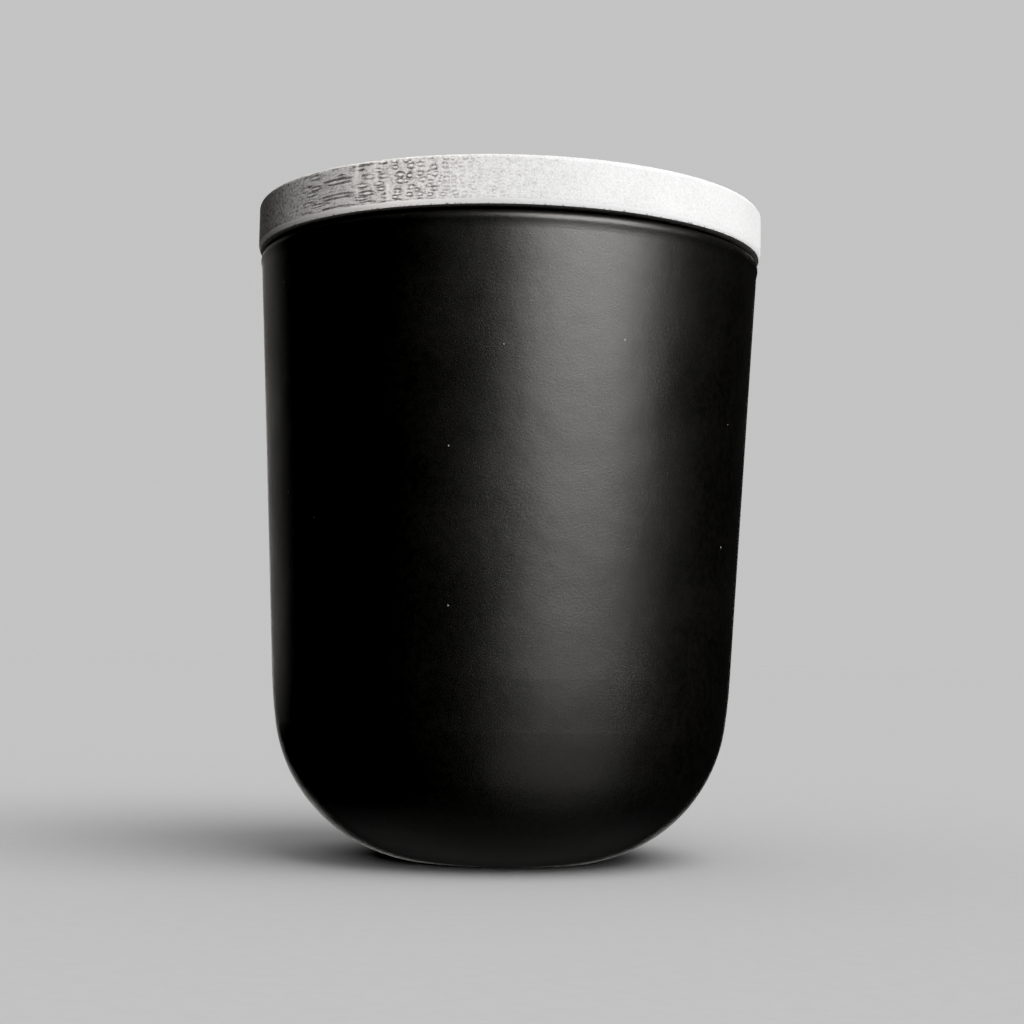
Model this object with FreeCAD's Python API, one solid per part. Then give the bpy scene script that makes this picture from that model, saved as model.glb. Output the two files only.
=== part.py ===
"""Empty candle jar: a coated glass tumbler with a rounded heel, closed by a bamboo lid with a silicone seal.

The lid is a round board of glued bamboo strips. A smaller round board, the plug, is glued under it and
carries the seal ring in a groove. The plug drops into the mouth of the jar, where the ring grips the glass
and holds the lid board just above the rim.

Millimetres, +Z up. The origin is the middle of the foot, on the surface that the jar stands on.
"""

import FreeCAD, Part
import os
from math import ceil, cos, radians, sin, sqrt, tan

# ---- glass vessel
RIM_Z = 96.35  # top of the rim
WALL_LEAN = radians(3.1)  # how far the wall leans out from upright
WALL_R = 40.5  # radius of the straight outer wall, carried up to the rim
WALL_T = 3.2  # glass thickness of the wall, measured level
HEEL_R = 25.4  # rounding between wall and base, outside
HEEL_LEAD_R = 90.0  # gentler rounding that leads from the wall into the heel
HEEL_LEAD_TURN = radians(5)  # how far that rounding turns
HEEL_CUT = 0.61  # how far the base plane cuts into the heel's arc
PUNT_MARGIN = 2.2  # width of the standing ring around the hollow under the base
PUNT_DEPTH = 0.6  # depth of that hollow
FLOOR_Z = 8.0  # top of the thick base, inside
INNER_HEEL_R = 22.0  # rounding between wall and floor, inside
BEAD_DROP = 1.3  # height of the bead's widest line below the rim top, and the bead's radius
BEAD_PROUD = 0.14  # how far the bead stands out of the wall
BEAD_BLEND_R = 6.0  # hollow rounding that leads from the bead back into the wall
MOUTH_ROUND = 1.2  # rounding of the rim's inner edge

# ---- lid board
SEAT_GAP = 0.45  # height at which the seal holds the lid board above the rim
LID_R = 41.0
LID_T = 7.2
LID_TOP_EASE = (0.6, 0.35)  # height of the softened upper edge, and how far it pulls in
LID_LOW_EASE = (1.1, 0.3)  # the same for the lower edge

# ---- plug board
PLUG_R = 35.4
PLUG_T = 5.5
PLUG_CHAMFER = 0.5  # lower edge
GROOVE_FLOOR_R = 33.9
GROOVE_TOP_DROP = 1.4  # from the underside of the lid board to the groove
GROOVE_H = 3.4

# ---- bamboo strips
STRIP_W = 20.5
GRAIN_TURN = -40.0  # degrees about +Z from the X axis to the way the strips run
PLUG_STAGGER = 0.5  # the plug's joints sit half a strip from the lid's
CUT_MARGIN = 1.0  # how far a cutting slab stands proud of the board

# ---- seal ring
SEAL_PLAY = 0.05  # gap to the groove, and from the lips to the glass
SEAL_BODY_R = 35.3
LIP_ROOT_HALF = 0.5  # half thickness of a lip where it leaves the ring
LIP_TIP_HALF = 0.22  # half thickness at the rounded tip
LIP_COUNT = 2

LID_Z = RIM_Z + SEAT_GAP
AXIS = FreeCAD.Vector(0, 0, 1)
CENTRE = FreeCAD.Vector(0, 0, 0)
OUTWARD = FreeCAD.Vector(cos(WALL_LEAN), 0, -sin(WALL_LEAN))  # square to the wall
UPWARD = FreeCAD.Vector(sin(WALL_LEAN), 0, cos(WALL_LEAN))  # along the wall


def at(r, z):
    """A point of a turned profile."""
    return FreeCAD.Vector(r, 0, z)


def outer_r(z):
    """Radius of the straight outer wall at height z."""
    return WALL_R + (z - RIM_Z) * tan(WALL_LEAN)


def inner_r(z):
    """Radius of the straight inner wall at height z."""
    return outer_r(z) - WALL_T


def line(a, b):
    return Part.LineSegment(a, b).toShape()


def arc(a, centre, b):
    """The shorter arc from a to b about a centre."""
    middle = (a - centre) + (b - centre)
    middle.normalize()
    return Part.Arc(a, centre + middle * (a - centre).Length, b).toShape()


def turned(edges):
    """A solid of revolution about the Z axis from the edges of a closed profile."""
    face = Part.Face(Part.Wire(edges))
    return face.revolve(CENTRE, AXIS, 360)


def joined(points):
    """Straight edges from each point to the next."""
    return [line(a, b) for a, b in zip(points, points[1:])]


def glass_vessel():
    """The tumbler: thick base with a shallow punt, leaning wall, rounded rim with a soft bead."""
    # base and heel, outside
    heel_z = HEEL_R - HEEL_CUT
    steeper = WALL_LEAN + HEEL_LEAD_TURN
    heel_out = at(cos(steeper), -sin(steeper))
    depth = HEEL_LEAD_R - (HEEL_LEAD_R - HEEL_R) * cos(HEEL_LEAD_TURN)
    heel = at(outer_r(heel_z) - depth / cos(WALL_LEAN), heel_z)
    lead = heel - heel_out * (HEEL_LEAD_R - HEEL_R)
    foot = at(heel.x + sqrt(HEEL_R**2 - heel_z**2), 0)
    heel_top = heel + heel_out * HEEL_R
    lead_top = lead + OUTWARD * HEEL_LEAD_R
    punt_edge = at(foot.x - PUNT_MARGIN, 0)
    punt_top = at(0, PUNT_DEPTH)
    punt_r = (punt_edge.x**2 + PUNT_DEPTH**2) / (2 * PUNT_DEPTH)
    punt = at(0, PUNT_DEPTH - punt_r)

    # bead and its blend into the wall
    bead_z = RIM_Z - BEAD_DROP
    bead = at(outer_r(bead_z) - (BEAD_DROP - BEAD_PROUD) / cos(WALL_LEAN), bead_z)
    reach = BEAD_DROP + BEAD_BLEND_R
    across = reach - BEAD_PROUD
    blend = bead + OUTWARD * across - UPWARD * sqrt(reach**2 - across**2)
    blend_low = blend - OUTWARD * BEAD_BLEND_R
    blend_high = bead + (blend - bead) * (BEAD_DROP / reach)
    rim_outer = at(bead.x, RIM_Z)

    # mouth
    mouth_z = RIM_Z - MOUTH_ROUND
    mouth = at(inner_r(mouth_z) + MOUTH_ROUND / cos(WALL_LEAN), mouth_z)
    rim_inner = at(mouth.x, RIM_Z)
    mouth_low = mouth - OUTWARD * MOUTH_ROUND

    # floor and heel, inside
    pan_z = FLOOR_Z + INNER_HEEL_R
    pan = at(inner_r(pan_z) - INNER_HEEL_R / cos(WALL_LEAN), pan_z)
    pan_top = pan + OUTWARD * INNER_HEEL_R
    pan_floor = at(pan.x, FLOOR_Z)
    floor_middle = at(0, FLOOR_Z)

    return turned(
        [
            arc(punt_top, punt, punt_edge),
            line(punt_edge, foot),
            arc(foot, heel, heel_top),
            arc(heel_top, lead, lead_top),
            line(lead_top, blend_low),
            arc(blend_low, blend, blend_high),
            arc(blend_high, bead, rim_outer),
            line(rim_outer, rim_inner),
            arc(rim_inner, mouth, mouth_low),
            line(mouth_low, pan_top),
            arc(pan_top, pan, pan_floor),
            line(pan_floor, floor_middle),
            line(floor_middle, punt_top),
        ]
    )


def eased_edge(face_z, inward, height, width):
    """Where a softened edge starts on the lid's side, its arc's centre, and where it ends on a face.

    inward is +1 when the board lies above the face, and -1 when it lies below it.
    """
    side = at(LID_R, face_z + inward * height)
    radius = (height**2 + width**2) / (2 * width)
    return side, side - at(radius, 0), at(LID_R - width, face_z)


def lid_disc():
    """The lid board before it is divided into strips."""
    top = LID_Z + LID_T
    low_side, low_centre, low_face = eased_edge(LID_Z, 1, *LID_LOW_EASE)
    top_side, top_centre, top_face = eased_edge(top, -1, *LID_TOP_EASE)
    return turned(
        [
            line(at(0, LID_Z), low_face),
            arc(low_face, low_centre, low_side),
            line(low_side, top_side),
            arc(top_side, top_centre, top_face),
            line(top_face, at(0, top)),
            line(at(0, top), at(0, LID_Z)),
        ]
    )


def plug_disc():
    """The plug board with its seal groove, before it is divided into strips."""
    low = LID_Z - PLUG_T
    groove_top = LID_Z - GROOVE_TOP_DROP
    groove_low = groove_top - GROOVE_H
    outline = [
        at(0, low),
        at(PLUG_R - PLUG_CHAMFER, low),
        at(PLUG_R, low + PLUG_CHAMFER / 2),
        at(PLUG_R, groove_low),
        at(GROOVE_FLOOR_R, groove_low),
        at(GROOVE_FLOOR_R, groove_top),
        at(PLUG_R, groove_top),
        at(PLUG_R, LID_Z),
        at(0, LID_Z),
        at(0, low),
    ]
    return turned(joined(outline))


def strips(disc, radius, shift):
    """Cut a disc into parallel bamboo strips, with glue joints at whole strip widths plus a shift."""
    box = disc.BoundBox
    reach = radius + CUT_MARGIN
    count = ceil(reach / STRIP_W) + 1
    pieces = []
    for index in range(-count, count):
        low = (index + shift) * STRIP_W
        corner = FreeCAD.Vector(-reach, low, box.ZMin - CUT_MARGIN)
        slab = Part.makeBox(2 * reach, STRIP_W, box.ZLength + 2 * CUT_MARGIN, corner)
        slab.rotate(CENTRE, AXIS, GRAIN_TURN)
        piece = disc.common(slab)
        if piece.Solids:
            pieces.append(piece.Solids[0])
    return pieces


def seal_ring():
    """Silicone band that fills the groove, with thin lips that press on the glass."""
    top = LID_Z - GROOVE_TOP_DROP - SEAL_PLAY
    low = LID_Z - GROOVE_TOP_DROP - GROOVE_H + SEAL_PLAY
    inner = GROOVE_FLOOR_R + SEAL_PLAY
    pitch = (top - low) / LIP_COUNT
    last = at(SEAL_BODY_R, low)
    edges = joined([at(inner, top), at(inner, low), last])
    for number in range(LIP_COUNT):
        level = low + (number + 0.5) * pitch
        tip_r = inner_r(level - LIP_TIP_HALF) - SEAL_PLAY - LIP_TIP_HALF
        root_low = at(SEAL_BODY_R, level - LIP_ROOT_HALF)
        tip_low = at(tip_r, level - LIP_TIP_HALF)
        tip_high = at(tip_r, level + LIP_TIP_HALF)
        root_high = at(SEAL_BODY_R, level + LIP_ROOT_HALF)
        edges.append(line(last, root_low))
        edges.append(line(root_low, tip_low))
        edges.append(Part.Arc(tip_low, at(tip_r + LIP_TIP_HALF, level), tip_high).toShape())
        edges.append(line(tip_high, root_high))
        last = root_high
    edges += joined([last, at(SEAL_BODY_R, top), at(inner, top)])
    return turned(edges)


def parts():
    """Every node of the jar by name."""
    nodes = {"glass_vessel": glass_vessel(), "seal_ring": seal_ring()}
    for number, piece in enumerate(strips(lid_disc(), LID_R, 0.0), 1):
        nodes[f"lid_strip_{number}"] = piece
    for number, piece in enumerate(strips(plug_disc(), PLUG_R, PLUG_STAGGER), 1):
        nodes[f"plug_strip_{number}"] = piece
    return nodes


os.makedirs("parts", exist_ok=True)
for name, shape in parts().items():
    solid = shape if shape.ShapeType == "Solid" else shape.Solids[0]
    solid.exportStep(os.path.join("parts", name + ".step"))
    box = solid.BoundBox
    heights = f"z {box.ZMin:.2f} to {box.ZMax:.2f}"
    print(f"{name}: valid {solid.isValid()}, {solid.Volume:.0f} mm3, {heights}")
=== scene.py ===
"""Looks of the candle jar: coat, glass, bamboo and silicone materials, studio floor, lights and camera.

Lengths in materials are millimetres, because every texture starts from object coordinates times 1000.
Everything else is in metres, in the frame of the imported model.
"""

from collections import namedtuple
from math import cos, pi, radians, sin

import bpy
from mathutils import Euler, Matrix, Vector


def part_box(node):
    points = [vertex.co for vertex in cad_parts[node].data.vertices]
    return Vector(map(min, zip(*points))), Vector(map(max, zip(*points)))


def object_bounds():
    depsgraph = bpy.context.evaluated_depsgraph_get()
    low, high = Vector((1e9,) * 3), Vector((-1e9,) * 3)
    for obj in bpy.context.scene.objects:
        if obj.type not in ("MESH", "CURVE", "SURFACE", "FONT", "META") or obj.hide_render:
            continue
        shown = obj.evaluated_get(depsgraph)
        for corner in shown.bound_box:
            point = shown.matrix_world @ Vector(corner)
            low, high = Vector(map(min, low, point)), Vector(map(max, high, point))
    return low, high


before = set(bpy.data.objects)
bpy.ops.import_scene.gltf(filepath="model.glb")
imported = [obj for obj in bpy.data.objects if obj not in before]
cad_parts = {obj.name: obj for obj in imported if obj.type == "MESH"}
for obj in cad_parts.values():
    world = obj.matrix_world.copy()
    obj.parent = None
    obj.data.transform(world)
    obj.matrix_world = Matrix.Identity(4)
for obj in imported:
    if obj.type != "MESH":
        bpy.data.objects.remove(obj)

CAD_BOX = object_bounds()

# ---- measures read from the frame
LID_LOW, LID_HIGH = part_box("lid_strip_3")
LID_Z = LID_LOW.z
LID_T = LID_HIGH.z - LID_LOW.z
PLUG_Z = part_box("plug_strip_3")[0].z
RIM_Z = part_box("glass_vessel")[1].z
JAR_H = CAD_BOX[1].z - CAD_BOX[0].z

# ---- how the bamboo boards are laid, as the part is built
GRAIN_TURN = radians(-40)
STRIP_MM = 20.5
PLUG_STAGGER = 0.5  # the plug's joints sit half a strip from the lid's
MM = 1000.0  # millimetres in a metre

# ---- fibre bundles of the bamboo
BUNDLE_MM = 0.66  # from one bundle to the next, across the strip
ROW_CROWDING = 0.5  # how much closer the rows lie towards the lower face
ROWS = 17.0  # a board's thickness holds this many rows times the logarithm of 1 + ROW_CROWDING
LOG_BASE = 2.71828
BUNDLE_WANDER = 0.055  # how fast the bundles shift along the grain, per millimetre
BUNDLE_SCATTER = 0.62  # how far they stray from even rows and columns

# ---- depth of each surface's relief, in metres
BAMBOO_RELIEF = 0.00008
COAT_RELIEF = 0.00006
SEAL_RELIEF = 0.00002

# ---- the jar's wall, roughly, for patterns that go by it
WALL_MM = 40.0  # outside radius
HOLLOW_MM = 30.0  # inside radius

# ---- camera, at the photograph's viewing angle
CAMERA_BACK = 0.30594
CAMERA_UP = 0.03212
CAMERA_PITCH = radians(4.386)
CAMERA_ROLL = radians(1.172)
CAMERA_PAN = radians(0.232)
LENS = 66.09
CLIP_START = 0.01

# ---- studio
FLOOR_HALF = 12.0  # half the floor's side
FLOOR_ALBEDO = 0.62
FLOOR_SPECKLE = 0.02  # how much that varies
BACKDROP = 0.55  # brightness that the camera sees behind the jar, and on the floor
FILL = 0.01  # even light from all round
FILL_BELOW = 0.03  # the same from well below the horizon
FILL_TURN = (radians(-8), radians(-40))  # elevations between which one becomes the other
BLACK_POINT = 0.0034
LAMP_COLOUR = (1.0, 0.97, 0.94)
LAMP_DISTANCE = 1.0  # from the middle of the jar's axis

# azimuth, elevation and angular size in degrees, and the share of the floor's light
FLOOR_LIGHTS = {
    "floor_key": (50, 60, 50, 0.45),
    "floor_overhead": (50, 78, 130, 0.55),
}

# azimuth and elevation in degrees, width and height in metres, watts, and what the light falls on
SOFTBOXES = {
    "key": (35, 28, 0.95, 0.9, 27.5, "off_floor"),
    "floor_bounce": (35, -34, 1.0, 0.9, 1.9, "vessel_only"),
    "under_bounce": (180, -70, 1.2, 1.2, 0.35, "vessel_only"),
    "lid_bounce": (20, -50, 1.2, 1.2, 2.5, "lid_only"),
    "lid_back": (182, 16, 1.0, 0.8, 4.5, "lid_only"),
    "rim_left": (-149, 12, 0.46, 0.6, 0.24, "off_floor"),
    "top_back": (170, 42, 0.8, 0.6, 5.0, "off_floor"),
    "back_bounce": (182, 2, 0.6, 0.7, 2.8, "vessel_only"),
}


class Graph:
    """A material's node tree, with short calls for the nodes that these materials use."""

    def __init__(self, name):
        self.material = bpy.data.materials.new(name)
        self.material.use_nodes = True
        self.tree = self.material.node_tree
        self.tree.nodes.clear()
        self.output = self.tree.nodes.new("ShaderNodeOutputMaterial")
        self.coords = self.tree.nodes.new("ShaderNodeTexCoord")

    def put(self, socket, value):
        if isinstance(value, bpy.types.NodeSocket):
            self.tree.links.new(value, socket)
        else:
            socket.default_value = value

    def fill(self, node, **sockets):
        """Set a node's inputs by name."""
        for name, value in sockets.items():
            self.put(node.inputs[name.replace("_", " ")], value)

    def math(self, operation, *values, clamp=False):
        node = self.tree.nodes.new("ShaderNodeMath")
        node.operation = operation
        node.use_clamp = clamp
        for socket, value in zip(node.inputs, values + (0.0,) * (3 - len(values))):
            self.put(socket, value)
        return node.outputs[0]

    def times(self, first, *others, clamp=False):
        for other in others:
            first = self.math("MULTIPLY", first, other, clamp=clamp)
        return first

    def plus(self, first, *others):
        for other in others:
            first = self.math("ADD", first, other)
        return first

    def minus(self, a, b, clamp=False):
        return self.math("SUBTRACT", a, b, clamp=clamp)

    def scaled(self, value, factor, shift):
        """value times factor, plus shift."""
        return self.math("MULTIPLY_ADD", value, factor, shift)

    def larger(self, a, b):
        return self.math("MAXIMUM", a, b)

    def magnitude(self, value):
        return self.math("ABSOLUTE", value)

    def vector(self, operation, a, b=(0, 0, 0), scale=1.0):
        node = self.tree.nodes.new("ShaderNodeVectorMath")
        node.operation = operation
        self.put(node.inputs[0], a)
        self.put(node.inputs[1], b)
        self.put(node.inputs[3], scale)
        return node.outputs[0]

    def place(self):
        """The point's place on its object, in millimetres."""
        return self.vector("SCALE", self.coords.outputs["Object"], scale=MM)

    def combine(self, x, y, z):
        node = self.tree.nodes.new("ShaderNodeCombineXYZ")
        for socket, value in zip(node.inputs, (x, y, z)):
            self.put(socket, value)
        return node.outputs[0]

    def separate(self, vector):
        node = self.tree.nodes.new("ShaderNodeSeparateXYZ")
        self.put(node.inputs[0], vector)
        return node.outputs[0], node.outputs[1], node.outputs[2]

    def ramp(self, value, low, high, to_low=0.0, to_high=1.0):
        """value from low..high to to_low..to_high, eased at both ends and held outside them."""
        node = self.tree.nodes.new("ShaderNodeMapRange")
        node.interpolation_type = "SMOOTHSTEP"
        for socket, number in zip(node.inputs, (value, low, high, to_low, to_high)):
            self.put(socket, number)
        return node.outputs[0]

    def mix(self, factor, a, b):
        node = self.tree.nodes.new("ShaderNodeMix")
        node.data_type = "RGBA"
        self.put(node.inputs[0], factor)
        self.put(node.inputs[6], a)
        self.put(node.inputs[7], b)
        return node.outputs[2]

    def noise(self, vector, scale, detail=2.0, roughness=0.5):
        node = self.tree.nodes.new("ShaderNodeTexNoise")
        self.fill(node, Vector=vector, Scale=scale, Detail=detail, Roughness=roughness)
        return node.outputs["Fac"]

    def cells(self, vector, scale, randomness=1.0, dimensions="3D"):
        """Distance to the nearest scattered point, that point's place and its random numbers."""
        node = self.tree.nodes.new("ShaderNodeTexVoronoi")
        node.voronoi_dimensions = dimensions
        self.fill(node, Vector=vector, Scale=scale, Randomness=randomness)
        return node.outputs["Distance"], node.outputs["Position"], self.separate(node.outputs["Color"])

    def random(self, value):
        """Three random numbers that belong to a whole number."""
        node = self.tree.nodes.new("ShaderNodeTexWhiteNoise")
        node.noise_dimensions = "1D"
        self.fill(node, W=value)
        return self.separate(node.outputs["Color"])

    def turn(self, vector, angle):
        node = self.tree.nodes.new("ShaderNodeVectorRotate")
        node.rotation_type = "Z_AXIS"
        self.fill(node, Vector=vector, Angle=angle)
        return node.outputs[0]

    def bump(self, height, distance, strength):
        """A bump whose height runs 0..1 and stands for distance metres."""
        node = self.tree.nodes.new("ShaderNodeBump")
        self.fill(node, Height=height, Distance=distance, Strength=strength)
        return node.outputs[0]

    def finish(self, **sockets):
        """A Principled shader with these inputs, joined to the output."""
        shader = self.tree.nodes.new("ShaderNodeBsdfPrincipled")
        self.fill(shader, **sockets)
        self.tree.links.new(shader.outputs[0], self.output.inputs["Surface"])
        return self.material


def grey(level, warm=0.0):
    """A near-neutral colour, warmer above zero."""
    return (level * (1 + warm), level, level * (1 - warm), 1.0)


# ---------------------------------------------------------------- bamboo


Facing = namedtuple("Facing", "along up cut_ends flat handled")


def facing(g):
    """Which way a board's surface faces.

    along is 1 where the surface looks along the grain, up is 1 where it looks up, cut_ends is 1 on cut
    ends, flat is 1 on the board's two faces, and the last is 1 on the side towards the camera's left and
    front, whose left end, turned from the key light, gets painted shade.
    """
    along, across, up = g.separate(g.turn(g.coords.outputs["Normal"], -GRAIN_TURN))
    return Facing(
        along=along,
        up=up,
        cut_ends=g.magnitude(along),
        flat=g.ramp(g.magnitude(up), 0.75, 0.95),
        handled=g.ramp(across, -0.3, -0.62),
    )


def bundle_rings(g, column, row, along, seed):
    """Dark sheath and bright heart of the fibre bundles, and a random number for each bundle."""
    cell = g.combine(column, row, g.scaled(along, BUNDLE_WANDER, seed))
    _, centre, pick = g.cells(cell, 1.0, BUNDLE_SCATTER)
    off_across, off_up, _ = g.separate(g.vector("SUBTRACT", cell, centre))
    radius = g.math("SQRT", g.plus(g.math("POWER", off_across, 2.0), g.math("POWER", off_up, 2.0)))
    radius = g.times(radius, g.ramp(pick[0], 0.0, 1.0, 1.25, 0.9))
    cap = g.math("DIVIDE", g.magnitude(off_up), g.larger(radius, 0.02))
    ring = g.times(g.ramp(radius, 0.13, 0.2), g.ramp(radius, 0.47, 0.38))
    sheath = g.times(ring, g.ramp(cap, 0.3, 0.8, 0.3, 1.0))
    heart = g.ramp(radius, 0.2, 0.1)
    return sheath, heart, pick[1]


def wash_cover(g, faces, blot, wash):
    """How well the white wash hides the wood: better on cut ends and on the faces than on long grain."""
    right = g.ramp(faces.along, 0.24, 0.6, 0.0, 0.72)
    right = g.plus(right, g.ramp(faces.along, 0.6, 0.95, 0.0, 0.25))
    left = g.ramp(faces.along, -0.08, -0.28)
    left = g.times(left, g.scaled(faces.handled, 0.18, 0.72))
    cover = g.plus(g.larger(g.larger(right, left), g.times(faces.flat, 0.62)), wash)
    return g.plus(cover, g.scaled(blot, 0.5, -0.25))


def brush_strokes(g, faces, along, up):
    """Brush marks of the wash, across the edge where the grain runs along it."""
    marks = g.noise(g.combine(g.times(along, 0.75), 3.0, g.times(up, 0.2)), 1.0, 2.0, 0.55)
    marks = g.times(g.ramp(marks, 0.48, 0.72), g.ramp(faces.along, 0.0, 0.12))
    return g.times(marks, g.ramp(faces.along, 0.3, 0.22), g.minus(1.0, faces.flat))


def bamboo(name, strip_shift, board_low_mm, board_t_mm, wash, underside_shade_level):
    """Board of flat bamboo strips: fibre bundles that run the whole length, white wash on top.

    Cut across, the bundles show as small rings with dark caps, and cut along as streaks, so one solid
    pattern does the faces, the edge and everything between. The last argument says how dark the lower
    face, which gets no wash, is painted, from 0 to 1: painted shade that keeps the gap under the lid dark.
    """
    g = Graph(name)
    place = g.turn(g.place(), -GRAIN_TURN)
    along, across, up = g.separate(place)
    strip_place = g.plus(g.math("DIVIDE", across, STRIP_MM), strip_shift)
    from_middle = g.magnitude(g.minus(g.math("FRACT", strip_place), 0.5))
    tone, start, seed = g.random(g.plus(g.math("FLOOR", strip_place), board_low_mm))
    level = g.math("DIVIDE", g.minus(up, board_low_mm), board_t_mm)

    # rows and columns of bundles, which sway a little along the grain and start anew in each strip
    sway = g.noise(g.combine(g.times(along, 0.05), g.times(across, 0.15), start), 1.0, 1.0)
    column = g.plus(g.scaled(start, 37.0, across), g.times(sway, 1.2))
    row = g.times(g.math("LOGARITHM", g.scaled(level, ROW_CROWDING, 1.0), LOG_BASE), ROWS)
    row = g.plus(row, g.times(sway, 1.1))
    column_place = g.math("DIVIDE", column, BUNDLE_MM)
    sheath, heart, pick = bundle_rings(g, column_place, row, along, g.times(seed, 50.0))

    # thin fibres between the bundles, a fine sanded tooth, pores and blotches
    fibres = g.noise(g.combine(g.times(along, 0.12), column, up), 2.6, 3.0, 0.65)
    grit = g.noise(place, 4.2, 2.0, 0.75)
    pores = g.noise(g.combine(g.times(along, 0.7), across, up), 2.1, 3.0, 0.7)
    cloud = g.noise(place, 0.16, 3.0)
    blot = g.noise(place, 0.55, 2.0)

    # what the wash lets through; along the edge's upper and lower lines it covers the wood
    faces = facing(g)
    low_band = g.ramp(g.scaled(blot, 0.04, level), 0.135, 0.115)
    top_line = g.minus(g.ramp(level, 0.94, 0.975), faces.flat)
    covered_edge_lines = g.times(g.larger(low_band, top_line), 0.9)
    show = g.minus(1.0, g.larger(wash_cover(g, faces, blot, wash), covered_edge_lines), clamp=True)
    strokes = brush_strokes(g, faces, along, up)

    # how dark each kind of mark makes the wood
    sheath_dark = g.times(sheath, show, g.ramp(pick, 0.0, 1.0, 0.95, 0.7))
    fibre_dark = g.times(g.ramp(fibres, 0.52, 0.3), g.scaled(show, 0.42, 0.04))
    # on the end turned from the key light the pores and grit are made darker and stronger: partly grain,
    # partly painted shade
    left_end_speckle_and_shade = g.times(g.ramp(faces.along, -0.1, -0.34), faces.handled)
    pore_depth = g.scaled(left_end_speckle_and_shade, 0.6, g.scaled(show, 0.3, 0.06))
    pore_dark = g.times(g.ramp(pores, 0.5, 0.38), pore_depth)
    grit_depth = g.scaled(left_end_speckle_and_shade, 0.7, g.scaled(show, 0.3, 0.17))
    grit_dark = g.times(g.ramp(grit, 0.62, 0.38, -0.38, 0.62), grit_depth)
    strip_depth = g.scaled(faces.flat, 0.12, 0.05)
    tone_dark = g.scaled(cloud, 0.16, g.scaled(tone, strip_depth, -0.06))
    glue_depth = g.scaled(faces.flat, 0.2, g.times(show, g.ramp(faces.cut_ends, 0.2, 0.4)))
    glue_line = g.times(g.ramp(from_middle, 0.4945, 0.4975), glue_depth)
    grain_dark = g.plus(g.plus(fibre_dark, glue_line), g.plus(pore_dark, grit_dark))
    total = g.plus(sheath_dark, g.plus(grain_dark, tone_dark))
    total = g.times(total, g.scaled(strokes, -0.6, 1.0))
    total = g.times(total, g.scaled(low_band, -0.6, 1.0), clamp=True)

    # the wash's colour: darker on the side that faces the key light, as painted shade that holds it back from
    # white; painted shade on the end turned from the key light; then a darker colour on the faces, again
    # painted shade
    wash_with_painted_shade = g.mix(g.ramp(faces.along, 0.25, 0.8), grey(0.62), grey(0.505, -0.03))
    # painted shade: the end turned from the key light is darkened towards grey
    left_end_painted_shade = g.times(g.ramp(faces.along, -0.15, -0.55), faces.handled)
    wash_with_painted_shade = g.mix(left_end_painted_shade, wash_with_painted_shade, grey(0.3, 0.01))
    # painted shade: the board's two faces get a darker wash than its edge
    wash_with_painted_shade = g.mix(faces.flat, wash_with_painted_shade, grey(0.5, 0.01))
    colour = g.mix(g.math("MINIMUM", total, 0.95), wash_with_painted_shade, grey(0.07, 0.06))
    pale = g.larger(g.times(strokes, 0.45), g.times(low_band, 0.8))
    pale = g.larger(g.times(heart, show, 0.45), pale)
    # painted light and shade: the pale marks are much lighter on the sides turned from the key light than on
    # the side facing it
    bright = g.mix(g.ramp(faces.along, 0.2, 0.6), grey(0.84), grey(0.515, -0.03))
    colour = g.mix(pale, colour, bright)

    # the lower face has no wash, and is painted dark: painted shade that keeps the gap under the lid dark
    underside_painted_shade = g.times(g.ramp(faces.up, -0.6, -0.95), underside_shade_level)
    colour = g.mix(underside_painted_shade, colour, grey(0.07, 0.05))

    # chips along the sharp lower line
    chip = g.noise(g.combine(g.times(along, 1.0), across, 0.0), 1.7, 3.0, 0.7)
    chip = g.times(g.ramp(chip, 0.54, 0.62), g.ramp(level, 0.026, 0.012))
    colour = g.mix(g.times(chip, 0.8), colour, grey(0.05, 0.06))

    height = g.plus(g.times(grit, 0.5), g.times(fibres, 0.3))
    height = g.minus(height, g.times(sheath_dark, 0.9))
    return g.finish(
        Base_Color=colour,
        Roughness=g.ramp(total, 0.0, 0.7, 0.68, 0.85),
        Normal=g.bump(height, BAMBOO_RELIEF, 0.6),
        Specular_IOR_Level=0.15,
        Diffuse_Roughness=0.3,
    )


# ---------------------------------------------------------------- jar


def inside_glass(g, place):
    """1 on the inside of the jar and 0 on the outside, with a slightly ragged line between, at the rim."""
    x, y, z = g.separate(place)
    normal_x, normal_y, normal_z = g.separate(g.coords.outputs["Normal"])
    facing_axis = g.times(g.plus(g.times(x, normal_x), g.times(y, normal_y)), -1.0 / HOLLOW_MM)
    below_middle = g.ramp(z, RIM_Z * MM * 0.5, RIM_Z * MM * 0.6, 1.0, 0.0)
    floor_up = g.times(normal_z, below_middle)
    ragged = g.scaled(g.noise(place, 0.8, 3.0), 0.3, -0.15)
    return g.ramp(g.plus(g.larger(facing_axis, floor_up), ragged), 0.25, 0.45)


def dust_grains(g, place):
    """1 on a few tiny grains of dust above the heel, scattered over the wall rolled out flat."""
    x, y, z = g.separate(place)
    unrolled = g.combine(g.times(g.math("ARCTAN2", x, y), WALL_MM), z, 0.0)
    distance, _, pick = g.cells(unrolled, 0.12, dimensions="2D")
    picked = g.times(g.ramp(pick[0], 0.91, 0.93), g.ramp(z, 16.0, 24.0))
    grain_size = g.scaled(pick[1], 0.012, 0.009)
    return g.times(g.math("LESS_THAN", distance, grain_size), picked)


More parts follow.
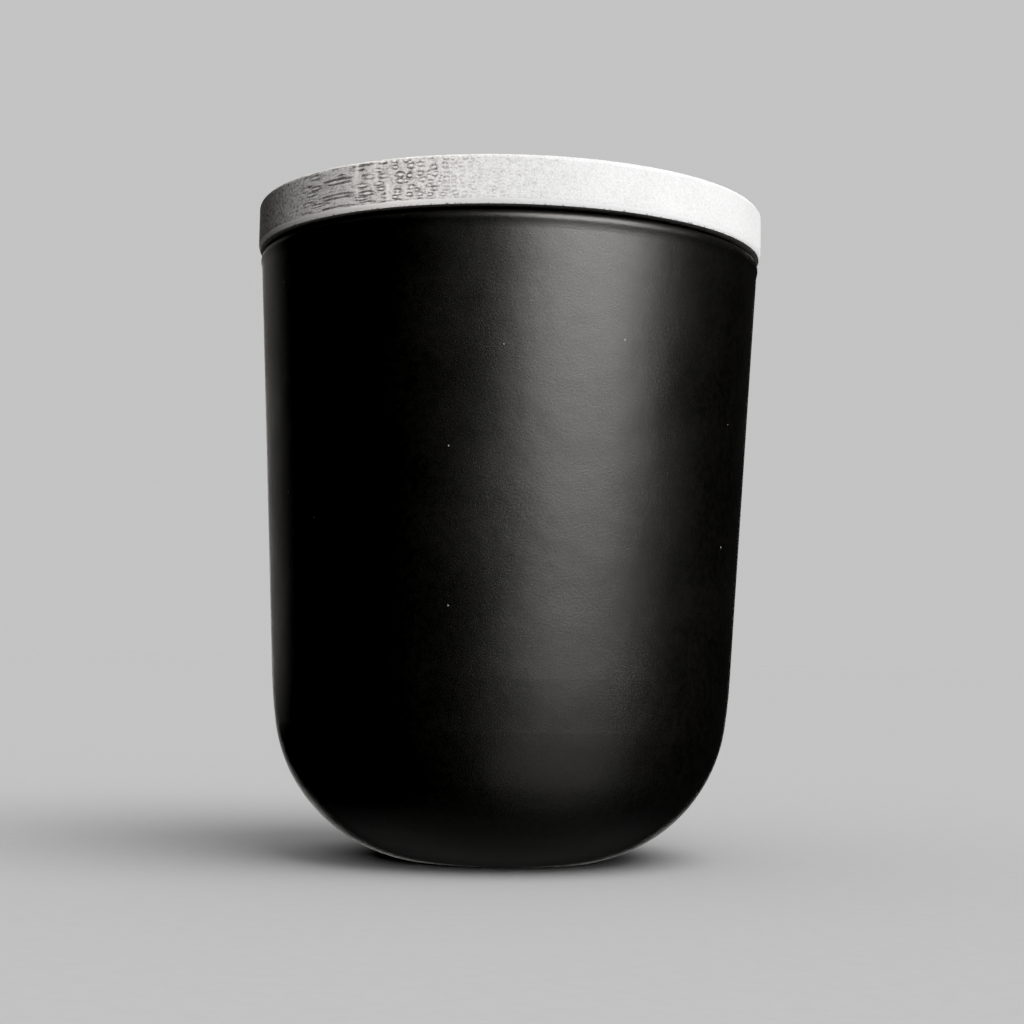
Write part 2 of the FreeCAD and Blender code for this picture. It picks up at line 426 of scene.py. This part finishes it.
def jar_glass():
    """Black satin coat sprayed on the outside; inside, the coat is seen through clear gloss glass."""
    g = Graph("coated_glass")
    place = g.place()
    inside = inside_glass(g, place)
    outside = g.minus(1.0, inside)

    # fine tooth of the spray, soft mottling, rubbed patches, and slow waves in the glass
    tooth = g.noise(place, 4.6, 2.0, 0.8)
    mottle = g.noise(place, 0.9, 3.0, 0.55)
    rubbed = g.noise(place, 0.08, 3.0, 0.5)
    sag = g.noise(place, 0.12, 2.0)

    coat = g.mix(g.ramp(mottle, 0.35, 0.65), grey(0.0009, 0.02), grey(0.0018, 0.03))
    colour = g.mix(inside, coat, grey(0.004))
    colour = g.mix(g.times(dust_grains(g, place), outside), colour, grey(0.2))
    satin = g.plus(g.ramp(rubbed, 0.3, 0.7, 0.315, 0.365), g.scaled(tooth, 0.06, -0.03))
    rough = g.plus(g.times(satin, outside), g.times(inside, 0.05))
    height = g.plus(g.times(tooth, 1.0), g.times(mottle, 0.22), g.times(sag, 3.0))
    relief = g.bump(height, COAT_RELIEF, g.scaled(inside, -0.5, 0.55))
    return g.finish(Base_Color=colour, Roughness=rough, Normal=relief, Specular_IOR_Level=0.5)


def silicone():
    """Milky seal ring with a soft sheen and cloudy mould flow marks."""
    g = Graph("silicone")
    place = g.place()
    cloud = g.noise(place, 0.35, 3.0)
    fine = g.noise(place, 5.0, 2.0)
    return g.finish(
        Base_Color=g.mix(g.ramp(cloud, 0.3, 0.7), (0.74, 0.74, 0.71, 1), (0.83, 0.83, 0.81, 1)),
        Roughness=g.ramp(fine, 0.3, 0.7, 0.30, 0.42),
        Normal=g.bump(fine, SEAL_RELIEF, 0.5),
        Subsurface_Weight=0.5,
        Subsurface_Radius=(1.0, 1.0, 1.0),
        Subsurface_Scale=0.0012,
    )


def dress(prefix, material):
    """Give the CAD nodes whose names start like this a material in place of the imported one."""
    for name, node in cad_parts.items():
        if name.startswith(prefix):
            node.data.materials.clear()
            node.data.materials.append(material)


def dress_all():
    plug_t = LID_Z - PLUG_Z
    # painted shade: the lid's lower face is painted near black, the plug's is not
    dress("lid_strip_", bamboo("lid_bamboo", 0.0, LID_Z * MM, LID_T * MM, wash=0.12, underside_shade_level=0.8))
    plug = bamboo("plug_bamboo", PLUG_STAGGER, PLUG_Z * MM, plug_t * MM, wash=0.05, underside_shade_level=0.0)
    dress("plug_strip_", plug)
    dress("glass_vessel", jar_glass())
    dress("seal_ring", silicone())


# ---------------------------------------------------------------- studio


def in_scene(name, data):
    """A new object in the scene."""
    thing = bpy.data.objects.new(name, data)
    bpy.context.scene.collection.objects.link(thing)
    return thing


def studio_floor():
    """A wide pale sheet, lit so evenly that it runs into the backdrop with no horizon."""
    mesh = bpy.data.meshes.new("studio_floor")
    corners = [(x * FLOOR_HALF, y * FLOOR_HALF, 0) for x, y in ((-1, -1), (1, -1), (1, 1), (-1, 1))]
    mesh.from_pydata(corners, [], [(0, 1, 2, 3)])
    floor = in_scene("studio_floor", mesh)
    g = Graph("studio_floor")
    fine = g.noise(g.place(), 0.4, 3.0)
    colour = g.mix(fine, grey(FLOOR_ALBEDO - FLOOR_SPECKLE), grey(FLOOR_ALBEDO + FLOOR_SPECKLE))
    mesh.materials.append(g.finish(Base_Color=colour, Roughness=1.0, Specular_IOR_Level=0.0))
    floor.visible_glossy = False
    floor.visible_diffuse = False
    floor.visible_shadow = False
    return floor


def lamp_holder(name, kind, azimuth, elevation, target_z, group):
    """A lamp for one group that faces the jar's axis; azimuth 0 is the camera's side, + is to its right."""
    lamp = bpy.data.lights.new(name, kind)
    holder = in_scene(name, lamp)
    direction = Vector((sin(azimuth) * cos(elevation), -cos(azimuth) * cos(elevation), sin(elevation)))
    holder.location = Vector((0, 0, target_z)) + direction * LAMP_DISTANCE
    holder.rotation_euler = direction.to_track_quat("Z", "Y").to_euler()
    holder.visible_camera = False
    holder.light_linking.receiver_collection = group
    return lamp


def softbox(name, azimuth, elevation, wide, tall, watts, group):
    """A soft rectangular light for one group of pieces."""
    lamp = lamp_holder(name, "AREA", azimuth, elevation, JAR_H / 2, group)
    lamp.shape = "RECTANGLE"
    lamp.size = wide
    lamp.size_y = tall
    lamp.energy = watts
    lamp.color = LAMP_COLOUR


def floor_light(name, azimuth, elevation, spread, level, floor_only):
    """A wide, even light for the floor alone, which gives it this much light measured flat."""
    lamp = lamp_holder(name, "SUN", azimuth, elevation, 0.0, floor_only)
    lamp.energy = level / sin(elevation)
    lamp.angle = spread


def linked(name, things, state):
    """A light-linking collection that takes in, or leaves out, some objects."""
    group = bpy.data.collections.new(name)
    for thing in things:
        group.objects.link(thing)
    for member in group.collection_objects:
        member.light_linking.link_state = state
    return group


def world_light():
    """A plain backdrop for the camera, and a very weak light from all round, a little stronger from below."""
    world = bpy.data.worlds.new("studio")
    bpy.context.scene.world = world
    world.use_nodes = True
    tree = world.node_tree
    tree.nodes.clear()
    out = tree.nodes.new("ShaderNodeOutputWorld")
    seen = tree.nodes.new("ShaderNodeBackground")
    seen.inputs["Color"].default_value = grey(BACKDROP)
    fill = tree.nodes.new("ShaderNodeBackground")
    direction = tree.nodes.new("ShaderNodeTexCoord")
    split = tree.nodes.new("ShaderNodeSeparateXYZ")
    tree.links.new(direction.outputs["Generated"], split.inputs[0])
    from_below = tree.nodes.new("ShaderNodeMapRange")
    from_below.interpolation_type = "SMOOTHSTEP"
    start, end = FILL_TURN
    for socket, number in zip(from_below.inputs[1:5], (sin(start), sin(end), FILL, FILL_BELOW)):
        socket.default_value = number
    tree.links.new(split.outputs[2], from_below.inputs[0])
    tree.links.new(from_below.outputs[0], fill.inputs["Strength"])
    path = tree.nodes.new("ShaderNodeLightPath")
    mix = tree.nodes.new("ShaderNodeMixShader")
    tree.links.new(path.outputs["Is Camera Ray"], mix.inputs[0])
    tree.links.new(fill.outputs[0], mix.inputs[1])
    tree.links.new(seen.outputs[0], mix.inputs[2])
    tree.links.new(mix.outputs[0], out.inputs["Surface"])


def studio():
    floor = studio_floor()
    floor_only = linked("floor_only", [floor], "INCLUDE")
    floor_level = pi * (BACKDROP / FLOOR_ALBEDO - FILL)
    for name, (azimuth, elevation, spread, share) in FLOOR_LIGHTS.items():
        level = share * floor_level
        floor_light(name, radians(azimuth), radians(elevation), radians(spread), level, floor_only)

    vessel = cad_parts["glass_vessel"]
    others = [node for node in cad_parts.values() if node != vessel]
    groups = {
        "off_floor": linked("off_floor", [floor], "EXCLUDE"),
        "vessel_only": linked("vessel_only", [vessel], "INCLUDE"),
        "lid_only": linked("lid_only", others, "INCLUDE"),
    }
    for name, (azimuth, elevation, wide, tall, watts, group) in SOFTBOXES.items():
        softbox(name, radians(azimuth), radians(elevation), wide, tall, watts, groups[group])
    world_light()


def camera():
    data = bpy.data.cameras.new("camera")
    data.lens = LENS
    data.clip_start = CLIP_START
    holder = in_scene("camera", data)
    holder.location = (0, -CAMERA_BACK, CAMERA_UP)
    level = Euler((pi / 2 + CAMERA_PITCH, 0, -CAMERA_PAN)).to_matrix()
    roll = Euler((0, 0, CAMERA_ROLL)).to_matrix()
    holder.rotation_euler = (level @ roll).to_euler()
    bpy.context.scene.camera = holder


def black_level():
    """Cut the faintest haze to black, as in the photograph."""
    view = bpy.context.scene.view_settings
    view.view_transform = "Standard"
    view.use_curve_mapping = True
    view.curve_mapping.black_level = (BLACK_POINT, BLACK_POINT, BLACK_POINT)
    view.curve_mapping.update()


dress_all()
studio()
camera()
black_level()
